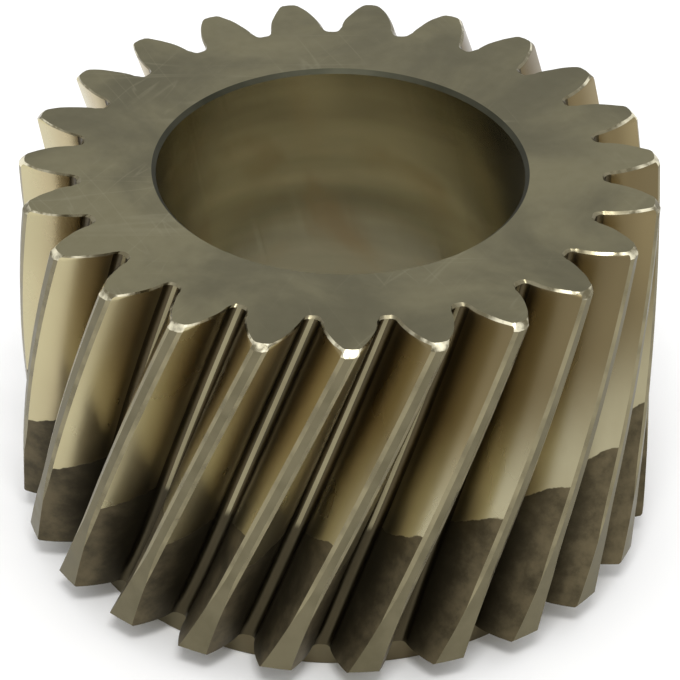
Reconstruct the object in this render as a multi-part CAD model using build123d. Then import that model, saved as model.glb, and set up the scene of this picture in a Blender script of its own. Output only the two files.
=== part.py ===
"""Helical gear: one steel piece, turned, bored and toothed, with a short hub under its teeth.

Millimetres. Z is the bore axis, z = 0 is the hub's free face and the full tooth ends are on top.
Each tooth space is cut out of a turned blank, as a hob does it, and gets shallower where the
cutter runs out towards the hub. Writes parts/helical_gear.step.
"""
import os
from math import acos, asin, atan, cos, degrees, radians, sin, sqrt, tan

from build123d import *

# Tooth system
TEETH = 23
NORMAL_MODULE = 4.0
NORMAL_PRESSURE_ANGLE = 25.0    # degrees
HELIX_ANGLE = 20.7              # degrees at the pitch circle, right hand
ADDENDUM = 4.0
DEDENDUM = 5.6
BACKLASH_ANGLE = 0.03           # degrees taken off each side of a tooth
TOOTH_ANGLE = 84.842            # degrees from +X to one tooth's centre line at the top face

# Tooth form
ROOT_FILLET = 1.15              # radius between flank and root
TIP_CHAMFER_DROP = 0.4          # how far down the flank the tip chamfer reaches
LAND_HALF_ANGLE = 0.72          # degrees, half of the flat left on a tooth's tip
FLANK_EDGE_BREAK = 0.25         # deburring of the flanks' edges on the top face
ROOT_EDGE_BREAK = 0.5           # the same at the root
EDGE_BREAK_DEPTH = 0.4          # how deep that deburring goes into the tooth
FLANK_FACETS = 3                # straight strips that follow the involute to 0.07 mm
FILLET_FACETS = 2               # and the fillet to 0.1 mm

# Blank
FACE_WIDTH = 64.0
HUB_HEIGHT = 5.0
HUB_RADIUS = 44.25
BORE_RADIUS = 30.5
BORE_CHAMFER = 0.7
TOP_CHAMFER_WIDTH = 0.9         # radial, round the tooth tips at the top face
TOP_CHAMFER_DEPTH = 1.1         # axial
TURNED_EDGE_BREAK = 0.25        # hub's and lower tooth ends' corners

# Cutter run-out
RUNOUT_LENGTH = 19.0            # length of face in which the cutter leaves the work
RUNOUT_RISE = 1.87              # rise of the root at the lower tooth ends
CUT_OVERRUN = 1.0               # how far the cutters reach past the work

HEIGHT = HUB_HEIGHT + FACE_WIDTH
HELIX = radians(HELIX_ANGLE)
PITCH_RADIUS = TEETH * NORMAL_MODULE / cos(HELIX) / 2
TIP_RADIUS = PITCH_RADIUS + ADDENDUM
ROOT_RADIUS = PITCH_RADIUS - DEDENDUM
PRESSURE = atan(tan(radians(NORMAL_PRESSURE_ANGLE)) / cos(HELIX))   # in the transverse plane
BASE_RADIUS = PITCH_RADIUS * cos(PRESSURE)
TWIST = tan(HELIX) / PITCH_RADIUS                                   # radians per millimetre
RUNOUT_START = HUB_HEIGHT + RUNOUT_LENGTH


def involute(angle):
    return tan(angle) - angle


def polar(radius, angle):
    return (radius * cos(angle), radius * sin(angle))


def space_half_angle(radius):
    """Half the angle of the gap between two full-depth teeth."""
    growth = involute(acos(BASE_RADIUS / radius)) - involute(PRESSURE)
    return radians(90 / TEETH + BACKLASH_ANGLE) + growth


def lift(z):
    """How far the cutter has risen out of the blank at height z."""
    past_start = max(0.0, RUNOUT_START - z)
    return RUNOUT_RISE * (past_start / RUNOUT_LENGTH) ** 2


def space_outline(z, opened=0.0):
    """Closed outline of one tooth space at height z; opened = 1 is the fully deburred edge."""
    wider = opened * FLANK_EDGE_BREAK / PITCH_RADIUS
    root = ROOT_RADIUS - opened * ROOT_EDGE_BREAK

    # Involute flank, from where the tip chamfer starts down to the fillet.
    centre_radius = root + ROOT_FILLET
    foot = sqrt(centre_radius**2 - ROOT_FILLET**2)
    shoulder = TIP_RADIUS - TIP_CHAMFER_DROP
    radii = [shoulder + (foot - shoulder) * i / FLANK_FACETS for i in range(FLANK_FACETS + 1)]
    flank = [polar(r, space_half_angle(max(r, BASE_RADIUS)) + wider) for r in radii]

    # Fillet from the flank's foot round to the root circle.
    foot_angle = space_half_angle(max(foot, BASE_RADIUS)) + wider
    floor_angle = foot_angle - asin(ROOT_FILLET / centre_radius)
    centre = Vector(*polar(centre_radius, floor_angle))
    first, last = foot_angle + radians(90), floor_angle + radians(180)
    turns = [first + (last - first) * i / FILLET_FACETS for i in range(1, FILLET_FACETS + 1)]
    fillet = [tuple(centre + Vector(*polar(ROOT_FILLET, t)))[:2] for t in turns]

    # The tip chamfer's line carries on past the blank.
    land_edge = polar(TIP_RADIUS, radians(180 / TEETH - LAND_HALF_ANGLE) + wider)
    outer = tuple(3 * a - 2 * b for a, b in zip(land_edge, flank[0]))

    side = [outer, *flank, *fillet]
    outline = Polyline(*side, *[(x, -y) for x, y in reversed(side)], close=True)
    turn = TOOTH_ANGLE + 180 / TEETH - degrees(TWIST) * (HEIGHT - z)
    return Pos(0, 0, z) * Rot(0, 0, turn) * Pos(lift(z), 0, 0) * Wire(outline.edges())


def revolved(points):
    return revolve(make_face(Polyline(*points, close=True)), Axis.Z)


def blank():
    b, t = TURNED_EDGE_BREAK, HEIGHT
    inner = BORE_RADIUS + BORE_CHAMFER
    rim = [(inner, 0), (HUB_RADIUS - b, 0), (HUB_RADIUS, b), (HUB_RADIUS, HUB_HEIGHT),
           (TIP_RADIUS - b, HUB_HEIGHT), (TIP_RADIUS, HUB_HEIGHT + b),
           (TIP_RADIUS, t - TOP_CHAMFER_DEPTH), (TIP_RADIUS - TOP_CHAMFER_WIDTH, t),
           (inner, t), (BORE_RADIUS, t - BORE_CHAMFER), (BORE_RADIUS, BORE_CHAMFER)]
    return revolved([(r, 0, z) for r, z in rim])


def cutter(bottom, top, steps):
    """Solid that removes one space between two heights, through `steps` equal lengths."""
    heights = [bottom + (top - bottom) * i / steps for i in range(steps + 1)]
    return Solid.make_loft([space_outline(z) for z in heights])


def tooth_space():
    """One hobbed space: run-out, full depth, and the deburred edge at the top face."""
    runout = cutter(HUB_HEIGHT - CUT_OVERRUN, RUNOUT_START, 2)
    deburred = HEIGHT - EDGE_BREAK_DEPTH
    full_depth = cutter(RUNOUT_START, deburred, 3)
    ends = [space_outline(deburred), space_outline(HEIGHT + EDGE_BREAK_DEPTH, 2)]
    return runout + full_depth + Solid.make_loft(ends, ruled=True)


def build():
    space = tooth_space()
    gear = blank() - [Rot(0, 0, 360 * i / TEETH) * space for i in range(TEETH)]
    gear.label = "helical_gear"
    return gear


if __name__ == "__main__":
    os.makedirs("parts", exist_ok=True)
    export_step(build(), "parts/helical_gear.step")
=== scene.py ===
"""The helical gear's looks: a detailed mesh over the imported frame, its steel, the light and the camera."""
from math import acos, asin, atan, cos, pi, radians, sin, sqrt, tan

import bpy
import numpy as np
from mathutils import Matrix, Vector, noise


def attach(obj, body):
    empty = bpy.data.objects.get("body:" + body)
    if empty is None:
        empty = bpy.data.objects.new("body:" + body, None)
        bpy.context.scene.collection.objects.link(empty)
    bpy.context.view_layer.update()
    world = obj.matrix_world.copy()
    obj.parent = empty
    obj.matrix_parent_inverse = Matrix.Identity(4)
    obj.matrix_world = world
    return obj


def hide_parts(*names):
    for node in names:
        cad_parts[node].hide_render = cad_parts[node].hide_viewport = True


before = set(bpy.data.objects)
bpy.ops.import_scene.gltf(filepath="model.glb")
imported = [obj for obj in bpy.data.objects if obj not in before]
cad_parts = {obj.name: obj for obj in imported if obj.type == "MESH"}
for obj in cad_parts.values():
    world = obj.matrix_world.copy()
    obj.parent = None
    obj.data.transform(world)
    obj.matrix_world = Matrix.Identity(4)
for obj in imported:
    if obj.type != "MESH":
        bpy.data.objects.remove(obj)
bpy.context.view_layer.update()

MM = 0.001

# Tooth system, the same sizes as the CAD part. Lengths are in millimetres down to the materials.
TEETH = 23
NORMAL_MODULE = 4.0
PRESSURE_NORMAL = radians(25)
HELIX = radians(20.7)
ADDENDUM = 4.0
DEDENDUM = 5.6
ROOT_FILLET = 1.15
TIP_CHAMFER_DROP = 0.4
LAND_HALF_ANGLE = radians(0.72)
BACKLASH_ANGLE = radians(0.03)
TOOTH_ANGLE = radians(84.842)       # one tooth's centre line at the top face
PITCH_RADIUS = TEETH * NORMAL_MODULE / cos(HELIX) / 2
TIP_RADIUS = PITCH_RADIUS + ADDENDUM
ROOT_RADIUS = PITCH_RADIUS - DEDENDUM
PRESSURE = atan(tan(PRESSURE_NORMAL) / cos(HELIX))
BASE_RADIUS = PITCH_RADIUS * cos(PRESSURE)
TWIST = tan(HELIX) / PITCH_RADIUS   # radians per millimetre

# Blank
HEIGHT = 69.0
HUB_HEIGHT = 5.0
HUB_RADIUS = 44.25
BORE_RADIUS = 30.5
BORE_CHAMFER = 0.7
TOP_CHAMFER_WIDTH = 0.9
TOP_CHAMFER_DEPTH = 1.1
EDGE_BREAK = 0.25
RUNOUT_LENGTH = 19.0
RUNOUT_RISE = 1.87

# Hand deburring of the top face's edges: width and depth at the root, on the flank and at the tip
DEBURR_ROOT = (0.5, 0.4)
DEBURR_FLANK = (0.25, 0.4)
DEBURR_TIP = (0.55, 0.9)
DEBURR_ROOT_BLEND = 1.5             # radial length over which root turns into flank
DEBURR_TIP_START = 1.0              # above the pitch line, where flank starts to turn into tip
DEBURR_TIP_BLEND = 2.5
UNEVENNESS = 0.7                    # share of the width
UNEVENNESS_SCALE = 0.35             # per millimetre
UNEVENNESS_SEED = 7.3

# Rounding of the tip's corners at the top face: drop of the corner and of the point below it, and
# how far the corner moves towards the tooth's middle
CORNER_DROP = 0.12
SHOULDER_DROP = 0.45
CORNER_SHIFT = 0.25
LEAST_SHOULDER = 0.02               # the shoulder stays this far below the corner
LEAST_CORNER_ANGLE = 0.004          # radians left between the corner and the tooth's middle
LEAST_FLANK_ANGLE = 0.009           # the same for the flank's points

# Mesh
FLANK_STEPS = 12
FILLET_STEPS = 6
TOP_DEPTHS = (0, 0.12, 0.25, 0.4, 0.6, 0.85, TOP_CHAMFER_DEPTH, 1.6)
FACE_ROWS = 26
RUNOUT_ROWS = 14
TIP_EDGE_ROWS = 6                   # rows of the dressed edge at the land and its chamfers
FLANK_EDGE_ROWS = 3                 # and elsewhere
SHARP_ANGLE = radians(22)


# ---------------------------------------------------------------- tooth form

def involute(angle):
    return tan(angle) - angle


def space_half_angle(radius):
    """Half the angle of the gap between two full-depth teeth."""
    growth = involute(acos(BASE_RADIUS / max(radius, BASE_RADIUS))) - involute(PRESSURE)
    return pi / 2 / TEETH + BACKLASH_ANGLE + growth


def cutter_half():
    """Points (x, y) of half a tooth space, from its floor's middle up past the blank."""
    centre_radius = ROOT_RADIUS + ROOT_FILLET
    foot = sqrt(centre_radius**2 - ROOT_FILLET**2)
    foot_angle = space_half_angle(foot)
    floor_angle = foot_angle - asin(ROOT_FILLET / centre_radius)
    points = [(ROOT_RADIUS, 0.0)]
    for i in range(FILLET_STEPS + 1):
        turn = floor_angle + pi + (foot_angle + pi / 2 - floor_angle - pi) * i / FILLET_STEPS
        points.append((centre_radius * cos(floor_angle) + ROOT_FILLET * cos(turn),
                       centre_radius * sin(floor_angle) + ROOT_FILLET * sin(turn)))
    shoulder = TIP_RADIUS - TIP_CHAMFER_DROP
    for i in range(1, FLANK_STEPS + 1):
        r = foot + (shoulder - foot) * i / FLANK_STEPS
        points.append((r * cos(space_half_angle(r)), r * sin(space_half_angle(r))))
    land = pi / TEETH - LAND_HALF_ANGLE
    tip = (TIP_RADIUS * cos(land), TIP_RADIUS * sin(land))
    points.append(tuple(3 * a - 2 * b for a, b in zip(tip, points[-1])))
    return np.array(points)


CUTTER = cutter_half()

# The strips round one tooth, from the tooth's middle to the space's middle and on to the next tooth's
HALF_TOOTH = ["land", "chamfer"] + ["flank"] * FLANK_STEPS + ["fillet"] * FILLET_STEPS + ["floor"]
STRIPS = HALF_TOOTH + HALF_TOOTH[::-1]
RING = len(STRIPS) * TEETH


def lift(z):
    """How far the cutter has risen out of the blank at height z."""
    past_start = max(0.0, HUB_HEIGHT + RUNOUT_LENGTH - z)
    return RUNOUT_RISE * (past_start / RUNOUT_LENGTH) ** 2


def deburr(radius, depth, x, y):
    """How far the edge is dressed back at a radius, this far below the top face."""
    low = min(1.0, max(0.0, (radius - ROOT_RADIUS) / DEBURR_ROOT_BLEND))
    high = min(1.0, max(0.0, (radius - PITCH_RADIUS - DEBURR_TIP_START) / DEBURR_TIP_BLEND))
    width, deep = (root + (flank - root) * low + (tip - flank) * high
                   for root, flank, tip in zip(DEBURR_ROOT, DEBURR_FLANK, DEBURR_TIP))
    place = Vector((x * UNEVENNESS_SCALE, y * UNEVENNESS_SCALE, UNEVENNESS_SEED))
    return width * (1 + UNEVENNESS * noise.noise(place)) * max(0.0, 1 - depth / deep)


def half_ring(z, side, turn):
    """Points (x, y, z) from a tooth's middle to the space's middle, on one side of the space."""
    depth = HEIGHT - z
    clip = TIP_RADIUS
    if depth < TOP_CHAMFER_DEPTH:
        clip -= TOP_CHAMFER_WIDTH * (1 - depth / TOP_CHAMFER_DEPTH)
    if z < HUB_HEIGHT + EDGE_BREAK:
        clip -= EDGE_BREAK * (1 - (z - HUB_HEIGHT) / EDGE_BREAK)
    cut = CUTTER + (lift(z), 0)
    radii, angles = np.hypot(*cut.T), np.arctan2(cut[:, 1], cut[:, 0])
    rounding = max(0.0, 1 - depth / TOP_CHAMFER_DEPTH)
    shoulder = min(radii[-2], clip - LEAST_SHOULDER) - SHOULDER_DROP * rounding
    foot = radii[FILLET_STEPS + 1]
    upper = [clip - CORNER_DROP * rounding, shoulder]
    upper += [shoulder + (foot - shoulder) * i / FLANK_STEPS for i in range(1, FLANK_STEPS + 1)]
    profile = [(clip, pi / TEETH)]
    profile += [(r, float(np.interp(r, radii[2:], angles[2:]))) for r in upper]
    profile += list(zip(radii[FILLET_STEPS::-1], angles[FILLET_STEPS::-1]))
    points = []
    for i, (r, angle) in enumerate(profile):
        direction = turn + side * angle
        if depth < TOP_CHAMFER_DEPTH and i > 0:
            back = deburr(r, depth, r * cos(direction), r * sin(direction))
            if i > FLANK_STEPS + 2:
                r -= back
            else:
                back += CORNER_SHIFT * rounding if i == 1 else 0
                least = LEAST_CORNER_ANGLE if i == 1 else LEAST_FLANK_ANGLE
                direction = turn + side * min(angle + back / r, pi / TEETH - least)
        points.append((r * cos(direction), r * sin(direction), z))
    return points


def toothed_ring(z):
    """The gear's whole outline at height z."""
    ring = []
    for tooth in range(TEETH):
        turn = TOOTH_ANGLE + (2 * tooth + 1) * pi / TEETH - TWIST * (HEIGHT - z)
        right, left = half_ring(z, -1, turn), half_ring(z, 1, turn)
        ring += right + left[-2:0:-1]
    return ring


def round_ring(radius, z):
    """A circle with its points at the same angles as the outline beside it."""
    outline = toothed_ring(max(z, HUB_HEIGHT))
    lengths = [sqrt(x * x + y * y) for x, y, _ in outline]
    return [(x * radius / l, y * radius / l, z) for (x, y, _), l in zip(outline, lengths)]


# ---------------------------------------------------------------- materials

class Nodes:
    """Short calls for building a material's nodes."""

    def __init__(self, name):
        self.material = bpy.data.materials.new(name)
        self.material.use_nodes = True
        self.tree = self.material.node_tree
        self.shader = self.tree.nodes["Principled BSDF"]
        self.place = self.add("ShaderNodeTexCoord").outputs["Object"]

    def add(self, kind, **inputs):
        node = self.tree.nodes.new(kind)
        for key, value in inputs.items():
            self.put(node, key, value)
        return node

    def put(self, node, key, value):
        socket = node.inputs[key]
        if isinstance(value, bpy.types.NodeSocket):
            self.tree.links.new(value, socket)
        else:
            socket.default_value = value

    def math(self, operation, a, b=0.0):
        node = self.tree.nodes.new("ShaderNodeMath")
        node.operation = operation
        self.put(node, 0, a)
        self.put(node, 1, b)
        return node.outputs[0]

    def vector_math(self, operation, a, b=(0, 0, 0)):
        node = self.tree.nodes.new("ShaderNodeVectorMath")
        node.operation = operation
        self.put(node, 0, a)
        self.put(node, 1, b)
        return node

    def noise(self, scale, detail=4.0, stretch=(1, 1, 1), roughness=0.5, distortion=0.0, turn=0.0):
        """Noise from 0 to 1; a small stretch value draws it out along that axis."""
        where = self.add("ShaderNodeMapping", Vector=self.place, Rotation=(0, 0, turn),
                         Scale=tuple(1 / s for s in stretch))
        where.vector_type = "TEXTURE"
        node = self.add("ShaderNodeTexNoise", Vector=where.outputs[0], Scale=scale, Detail=detail,
                        Roughness=roughness, Distortion=distortion)
        return node.outputs["Fac"]

    def step(self, value, low, high, out_low=0.0, out_high=1.0):
        """A smooth step from out_low, where the value is low, to out_high."""
        node = self.tree.nodes.new("ShaderNodeMapRange")
        node.interpolation_type = "SMOOTHSTEP"
        for i, v in enumerate((value, low, high, out_low, out_high)):
            self.put(node, i, v)
        return node.outputs[0]

    def scratches(self, turn, scale, fineness, amount):
        """Thin gently curved lines: where a stretched noise crosses its middle value."""
        field = self.noise(scale, detail=2, stretch=(1, 0.07, 1), distortion=0.6, turn=turn)
        line = self.step(self.math("ABSOLUTE", self.math("SUBTRACT", field, 0.5)), 0, fineness, 1, 0)
        patch = self.step(self.noise(45, detail=2), 0.45, 0.6, 0, amount)
        return self.math("MULTIPLY", line, patch)

    def mix(self, factor, a, b):
        """Colour a where the factor is 0 and b where it is 1."""
        node = self.tree.nodes.new("ShaderNodeMix")
        node.data_type = "RGBA"
        for key, value in ((0, factor), (6, a), (7, b)):
            self.put(node, key, value if not isinstance(value, tuple) else (*value, 1.0))
        return node.outputs[2]

    def radius(self):
        """Distance from the gear's axis, in metres."""
        flat = self.vector_math("MULTIPLY", self.place, (1, 1, 0))
        return self.vector_math("LENGTH", flat.outputs[0]).outputs["Value"]

    def height(self):
        """Height above the underside, in metres."""
        return self.add("ShaderNodeSeparateXYZ", Vector=self.place).outputs["Z"]

    def finish(self, colour, roughness, bump, strength=0.2, distance=0.0001):
        """Metal of this colour, with the bump as its surface's grain."""
        relief = self.add("ShaderNodeBump", Height=bump, Strength=strength, Distance=distance)
        for key, value in (("Base Color", colour), ("Roughness", roughness), ("Metallic", 1.0),
                           ("Normal", relief.outputs[0])):
            self.put(self.shader, key, value)
        return self.material


# Most of a noise lies between these two values
SOFT = (0.3, 0.7)
NEARLY_ALL = (0.2, 0.8)

# Colours, linear
# The next two: the flank steel's darker copy for the right-facing flanks, at the tip and in the middle:
# painted shade
STEEL_PAINTED_SHADE = (0.27, 0.215, 0.110)
STEEL_BROWN_PAINTED_SHADE = (0.185, 0.142, 0.070)
STEEL_GREEN = (0.44, 0.405, 0.265)
# The next two: the same flank steel's lighter copy for the left-facing flanks, in the middle and at the tip:
# painted light
STEEL_WARM_PAINTED_LIT = (0.46, 0.385, 0.225)
STEEL_PALE_PAINTED_LIT = (0.52, 0.465, 0.275)
STEEL_DULL = (0.155, 0.136, 0.083)
CHAMFER_LIGHT = (0.250, 0.220, 0.133)
SCALE_BLACK = (0.052, 0.043, 0.025)
SCALE_BROWN = (0.135, 0.110, 0.064)
FACE_DARK = (0.118, 0.108, 0.065)
FACE_LIGHT = (0.195, 0.178, 0.107)
LAND_DARK = (0.118, 0.104, 0.062)
LAND_LIGHT = (0.165, 0.146, 0.090)
FLOOR_DARK = (0.200, 0.175, 0.105)
FLOOR_LIGHT = (0.290, 0.260, 0.160)
# Near black: painted dark reflection on the bore's mouth chamfer
MOUTH_DARK = (0.022, 0.023, 0.015)
MOUTH_LIGHT = (0.070, 0.068, 0.047)
# Bare metal of the dressed edge, also standing in for its painted highlight
EDGE_BARE_AND_GLINT = (0.80, 0.75, 0.56)
SCRATCH = (0.30, 0.28, 0.19)
BORE_DARK = (0.42, 0.395, 0.29)
BORE_LIGHT = (0.78, 0.73, 0.54)
BORE_STAIN = (0.46, 0.34, 0.19)
SHADE = (0.150, 0.116, 0.062)
SHADE_DEEP = (0.075, 0.058, 0.031)

# Where the flanks' tones change, among them painted light towards the tip and painted shade near the root:
# radii and heights, in metres
BAND_EDGE_FROM = (ROOT_RADIUS + 1) * MM
ROOT_SHADE_RADII = (0.0445, 0.0475)
TIP_LIGHT_RADII = (0.0475, 0.0525)
HAZE_AND_SHADE_RADII = (0.0475, 0.0505)
HAZE_AND_SHADE_HEIGHT = 0.007
PALE_HEIGHTS = (0.001, 0.024)
BLOTCH_RADII = (0.046, 0.053)
BAND_WOBBLE = 0.0009
BAND_RAGGEDNESS = 0.00025
BAND_SOFTNESS = 0.00012

# Where the fillets and floors turn dark, the deburred edge takes its painted highlight and the bore darkens
ROOT_BAND_HEIGHTS = (0.0265, 0.0285)
ROOT_BAND_WOBBLE = 0.001
EDGE_GLINT_RADII = (0.0470, 0.0510)
BORE_SHADE_HEIGHTS = (0.048, 0.068)

# Direction and scale of the top face's three sets of scratches, and how thin and strong they are
SCRATCH_SETS = ((0.5, 150), (1.6, 120), (2.6, 180))
SCRATCH_FINENESS = 0.012
SCRATCH_AMOUNT = 0.2


def face_steel():
    n = Nodes("ground_face")
    clouds = n.noise(38, detail=6, roughness=0.55, distortion=0.6)
    fine = n.noise(420, detail=3)
    colour = n.mix(n.step(clouds, 0.35, 0.65), FACE_DARK, FACE_LIGHT)
    for turn, scale in SCRATCH_SETS:
        colour = n.mix(n.scratches(turn, scale, SCRATCH_FINENESS, SCRATCH_AMOUNT), colour, SCRATCH)
    rough = n.math("ADD", n.step(clouds, *SOFT, 0.38, 0.5), n.step(fine, *SOFT, -0.04, 0.04))
    return n.finish(colour, rough, fine, strength=0.25, distance=0.00008)


def flank_steel(name, dark_root, dark_tip, middle, tip, reflection_streak_depth, pale_low):
    """Ground flank over a dark unground band whose upper edge runs from dark_root to dark_tip; painted light
    makes it lighter towards the tip, painted shade darker near the root, and dark streaks are painted
    reflection.
    """
    n = Nodes(name)
    r, z = n.radius(), n.height()
    wobble = n.step(n.noise(55, detail=2), *NEARLY_ALL, -BAND_WOBBLE, BAND_WOBBLE)
    ragged = n.step(n.noise(600, detail=3), *NEARLY_ALL, -BAND_RAGGEDNESS, BAND_RAGGEDNESS)
    edge = n.step(r, BAND_EDGE_FROM, TIP_RADIUS * MM, dark_root * MM, dark_tip * MM)
    above = n.math("SUBTRACT", z, n.math("ADD", edge, n.math("ADD", wobble, ragged)))
    dark = n.step(above, -BAND_SOFTNESS, BAND_SOFTNESS, 1, 0)
    # Brown just above the dark band and only near the root: partly scale tint, partly painted shade
    haze_and_root_shade = n.math("MULTIPLY", n.step(above, 0, HAZE_AND_SHADE_HEIGHT, 0.45, 0), n.step(r, *HAZE_AND_SHADE_RADII, 1, 0))
    grain = n.noise(90, detail=5, stretch=(1, 1, 0.25))
    # Dark soft streaks drawn out along the flank: painted reflection
    reflection_streaks = n.noise(32, detail=1, stretch=(1, 1, 0.35))
    # Lighter towards the tip: painted light
    ground = n.mix(n.step(r, *TIP_LIGHT_RADII), middle, tip)
    ground = n.mix(n.step(reflection_streaks, 0.42, 0.62, 0, reflection_streak_depth), ground, SHADE_DEEP)
    ground = n.mix(n.step(above, *PALE_HEIGHTS, pale_low, 0), ground, STEEL_GREEN)
    # Darker near the root, between the teeth: painted shade
    ground = n.mix(n.step(r, *ROOT_SHADE_RADII, 0.45, 0), ground, SHADE)
    ground = n.mix(n.step(grain, *SOFT, 0, 0.25), ground, middle)
    # The brown near the root: partly scale, partly painted shade
    ground = n.mix(haze_and_root_shade, ground, SCALE_BROWN)
    blotch = n.math("MULTIPLY", n.noise(240, detail=5, roughness=0.65),
                    n.step(r, *BLOTCH_RADII, 0.6, 1.15))
    scale = n.mix(n.step(blotch, 0.25, 0.8), SCALE_BLACK, SCALE_BROWN)
    rough = n.math("ADD", n.math("MULTIPLY", dark, 0.25), n.step(grain, *SOFT, 0.26, 0.34))
    return n.finish(n.mix(dark, ground, scale), rough, grain, strength=0.12, distance=0.00006)


def root_steel(name, colour_low, colour_high):
    """Steel at the bottom of the tooth spaces, dark in its lower part like the flanks beside it."""
    n = Nodes(name)
    wobble = n.step(n.noise(80, detail=3), *NEARLY_ALL, -ROOT_BAND_WOBBLE, ROOT_BAND_WOBBLE)
    dark = n.step(n.math("ADD", n.height(), wobble), *ROOT_BAND_HEIGHTS, 1, 0)
    grain = n.noise(140, stretch=(1, 1, 0.3))
    colour = n.mix(dark, n.mix(n.step(grain, *SOFT), colour_low, colour_high), SCALE_BLACK)
    return n.finish(colour, n.step(grain, *SOFT, 0.28, 0.4), grain)


def land_steel():
    n = Nodes("land")
    grain = n.noise(160, detail=5)
    colour = n.mix(n.step(grain, *SOFT), LAND_DARK, LAND_LIGHT)
    return n.finish(colour, n.step(grain, *SOFT, 0.35, 0.5), grain)


def chamfer_steel():
    n = Nodes("tip_chamfer")
    grain = n.noise(200)
    colour = n.mix(n.step(grain, *SOFT), STEEL_DULL, CHAMFER_LIGHT)
    return n.finish(colour, n.step(grain, *SOFT, 0.25, 0.4), grain, strength=0.1)


def edge_steel():
    """Dressed edge: bare metal in spots, with a painted highlight that is strong at the tip and faint at the
    root.
    """
    n = Nodes("deburred_edge")
    grain = n.noise(450, detail=3)
    bare_and_glint = n.math("MULTIPLY", n.step(grain, 0.35, 0.65), n.step(n.radius(), *EDGE_GLINT_RADII, 0.1, 1))
    colour = n.mix(bare_and_glint, STEEL_DULL, EDGE_BARE_AND_GLINT)
    return n.finish(colour, n.step(grain, *SOFT, 0.2, 0.4), grain, strength=0.5)


def bore_steel():
    n = Nodes("bore")
    rings = n.noise(60, detail=5, stretch=(0.15, 0.15, 1))
    stain = n.step(n.noise(35, detail=3, distortion=1.0), 0.55, 0.75, 0, 0.6)
    colour = n.mix(n.step(rings, *SOFT), BORE_DARK, BORE_LIGHT)
    colour = n.mix(stain, colour, BORE_STAIN)
    colour = n.mix(n.step(n.height(), *BORE_SHADE_HEIGHTS, 0, 0.3), colour, SHADE)
    return n.finish(colour, n.step(rings, *SOFT, 0.16, 0.24), rings, strength=0.05)


def mouth_steel():
    n = Nodes("bore_mouth")
    grain = n.noise(160)
    # Near-black steel: painted dark reflection
    return n.finish(n.mix(grain, MOUTH_DARK, MOUTH_LIGHT), 0.5, grain, strength=0.15)


def hub_steel():
    n = Nodes("hub")
    blotch = n.noise(90, detail=5, roughness=0.6)
    colour = n.mix(n.step(blotch, 0.35, 0.7), SCALE_BROWN, STEEL_DULL)
    return n.finish(colour, n.step(blotch, *SOFT, 0.4, 0.55), blotch)


def gear_materials():
    """Each zone's material. The heights, in millimetres, are where the flanks' dark band ends."""
    return {
        "face": face_steel(),
        # The left-facing flanks get a lighter copy and the right-facing ones a darker copy of the same
        # ground steel: painted light and shade
        "flank_left_painted_lit": flank_steel("flank_left_painted_lit", dark_root=27.0, dark_tip=24.6, middle=STEEL_WARM_PAINTED_LIT,
                                  tip=STEEL_PALE_PAINTED_LIT, reflection_streak_depth=0.15, pale_low=0.1),
        "flank_right_painted_shade": flank_steel("flank_right_painted_shade", dark_root=27.5, dark_tip=31.0, middle=STEEL_BROWN_PAINTED_SHADE,
                                   tip=STEEL_PAINTED_SHADE, reflection_streak_depth=0.55, pale_low=0.8),
        "fillet": root_steel("fillet", SCALE_BLACK, SHADE_DEEP),
        "floor": root_steel("floor", FLOOR_DARK, FLOOR_LIGHT),
        "land": land_steel(),
        "chamfer": chamfer_steel(),
        "edge": edge_steel(),
        "bore": bore_steel(),
        "mouth": mouth_steel(),
        "hub": hub_steel(),
    }


# ---------------------------------------------------------------- mesh

def gear_rings():
    """The rings of points that the surface is strung on, each with the zone that leads to it."""
    runout_top = HUB_HEIGHT + RUNOUT_LENGTH
    levels = [HEIGHT - depth for depth in TOP_DEPTHS]
    levels += list(np.linspace(levels[-1], runout_top, FACE_ROWS)[1:])
    levels += list(np.linspace(runout_top, HUB_HEIGHT + EDGE_BREAK, RUNOUT_ROWS)[1:]) + [HUB_HEIGHT]
    outer = [(toothed_ring(z), None) for z in levels]
    mouth = BORE_RADIUS + BORE_CHAMFER
    turned = [(HUB_RADIUS, HUB_HEIGHT, "face"), (HUB_RADIUS, EDGE_BREAK, "hub"),
              (HUB_RADIUS - EDGE_BREAK, 0, "hub"), (mouth, 0, "face"),
              (BORE_RADIUS, BORE_CHAMFER, "mouth"), (BORE_RADIUS, HEIGHT / 2, "bore"),
              (BORE_RADIUS, HEIGHT - BORE_CHAMFER, "bore"), (mouth, HEIGHT, "mouth")]
    rings = outer + [(round_ring(r, z), zone) for r, z, zone in turned]
    return rings + [(rings[0][0], "face")]


def strip_zone(strip, row):
    """The zone of a face on the toothed side, by its place round the tooth and its row from the top."""
    name = STRIPS[strip]
    if row < (TIP_EDGE_ROWS if name in ("land", "chamfer") else FLANK_EDGE_ROWS):
        return "edge"
    if name == "flank":
        return "flank_left_painted_lit" if strip < len(STRIPS) / 2 else "flank_right_painted_shade"
    return name


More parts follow.
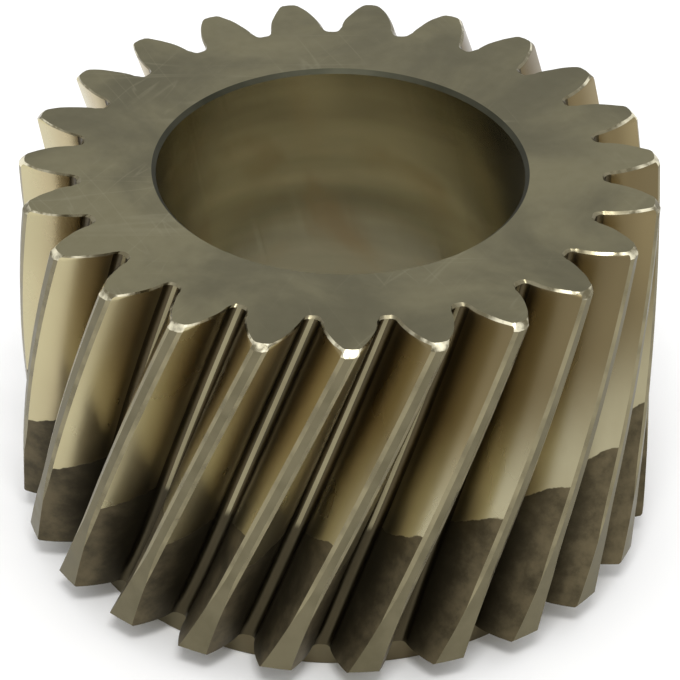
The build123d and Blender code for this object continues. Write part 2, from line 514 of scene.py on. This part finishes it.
def gear_mesh():
    """Closed mesh: the toothed face, both end faces, the hub and the bore."""
    rings = gear_rings()
    materials = gear_materials()
    slots = list(materials)
    vertices = [point for ring, _ in rings[:-1] for point in ring]
    faces, zones = [], []
    for row, (_, zone) in enumerate(rings[1:]):
        a, b = row * RING, ((row + 1) % (len(rings) - 1)) * RING
        for i in range(RING):
            j = (i + 1) % RING
            faces.append((a + i, a + j, b + j, b + i))
            zones.append(slots.index(zone or strip_zone(i % len(STRIPS), row)))

    mesh = bpy.data.meshes.new("helical_gear_detail")
    mesh.from_pydata([tuple(c * MM for c in v) for v in vertices], [], faces)
    mesh.polygons.foreach_set("material_index", zones)
    for material in materials.values():
        mesh.materials.append(material)
    mesh.validate()
    flat = (slots.index("face"), slots.index("mouth"))
    mesh.polygons.foreach_set("use_smooth", [zone not in flat for zone in zones])
    mesh.set_sharp_from_angle(angle=SHARP_ANGLE)
    return mesh


def add_gear():
    gear = bpy.data.objects.new("gear_body", gear_mesh())
    bpy.context.collection.objects.link(gear)
    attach(gear, "root")
    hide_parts("helical_gear")


# ---------------------------------------------------------------- stage

FLOOR_SIZE = 6
FLOOR_COLOUR = (0.97, 0.97, 0.97, 1)
FLOOR_ROUGHNESS = 0.9

KEY_PLACE = Vector((0.0, -0.62, 0.95))
KEY_TARGET = Vector((0, 0, 0.05))
KEY_SIZE = (0.35, 0.2)
KEY_POWER = 5

CAMERA_ELEVATION = 0.6074
CAMERA_ROLL = 0.0201
CAMERA_DISTANCE = 0.9102
CAMERA_TARGET = Vector((0.00047, 0.0, 0.03455))
CAMERA_LENS = 285.9
CAMERA_SENSOR = 36


def add_floor():
    bpy.ops.mesh.primitive_plane_add(size=FLOOR_SIZE)
    floor = bpy.context.object
    floor.name = "floor"
    material = bpy.data.materials.new("floor")
    material.use_nodes = True
    shader = material.node_tree.nodes["Principled BSDF"]
    shader.inputs["Base Color"].default_value = FLOOR_COLOUR
    shader.inputs["Roughness"].default_value = FLOOR_ROUGHNESS
    floor.data.materials.append(material)


def add_key_light():
    data = bpy.data.lights.new("key", "AREA")
    data.shape = "RECTANGLE"
    data.size, data.size_y = KEY_SIZE
    data.energy = KEY_POWER
    light = bpy.data.objects.new("key", data)
    light.location = KEY_PLACE
    light.rotation_euler = (KEY_TARGET - KEY_PLACE).to_track_quat("-Z", "Y").to_euler()
    bpy.context.collection.objects.link(light)


def add_world():
    """A plain white studio."""
    world = bpy.data.worlds.new("studio")
    bpy.context.scene.world = world
    world.use_nodes = True
    sky = world.node_tree.nodes["Background"]
    sky.inputs["Color"].default_value = (1, 1, 1, 1)
    sky.inputs["Strength"].default_value = 1.0


def add_camera():
    data = bpy.data.cameras.new("camera")
    data.lens = CAMERA_LENS
    data.sensor_width = CAMERA_SENSOR
    camera = bpy.data.objects.new("camera", data)
    back = Vector((0, -cos(CAMERA_ELEVATION), sin(CAMERA_ELEVATION)))
    turn = Matrix.Rotation(pi / 2 - CAMERA_ELEVATION, 4, "X") @ Matrix.Rotation(CAMERA_ROLL, 4, "Z")
    camera.matrix_world = Matrix.Translation(CAMERA_TARGET + back * CAMERA_DISTANCE) @ turn
    bpy.context.collection.objects.link(camera)
    bpy.context.scene.camera = camera


add_camera()
add_gear()
add_floor()
add_world()
add_key_light()
bpy.context.scene.view_settings.view_transform = "Standard"
